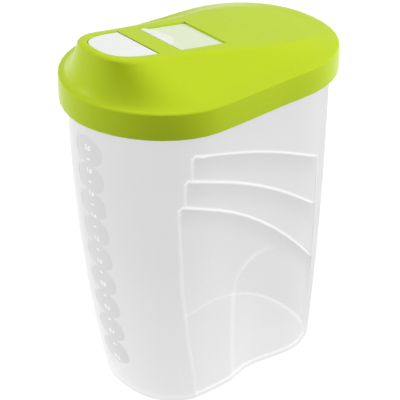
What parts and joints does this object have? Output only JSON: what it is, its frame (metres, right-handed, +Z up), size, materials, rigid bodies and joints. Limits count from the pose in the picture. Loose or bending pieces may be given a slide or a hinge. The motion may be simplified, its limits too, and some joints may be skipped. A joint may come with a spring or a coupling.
{
  "type": "cereal container",
  "caption": "Tall tapered cereal container with waisted flanks, stepped side panels and a scalloped scale strip, under a skirted lid whose sloping top carries a rocking pour flap.",
  "frame": {"origin": "middle of the overall footprint, on the surface the container stands on", "axes": "+Z up, X along the container with the pouring nose at -X, Y across it"},
  "size_m": [0.174, 0.1166, 0.2304],
  "materials": {
    "frosted": "frosted translucent polypropylene",
    "green": "gloss moulded polypropylene",
    "white": "satin moulded polypropylene"
  },
  "bodies": {
    "container": {"container": "frosted"},
    "lid": {"lid": "green"},
    "flap": {"flap": "white"}
  },
  "joints": [
    {"name": "lid_lift", "type": "slide", "parent": "container", "child": "lid", "axis": [0, 0, 1], "range_m": [0, 0.06]},
    {"name": "flap_rock", "type": "hinge", "parent": "lid", "child": "flap", "pos_m": [-0.037, 0, 0.21506], "axis": [0, 1, 0], "range_deg": [0, 32]}
  ]
}
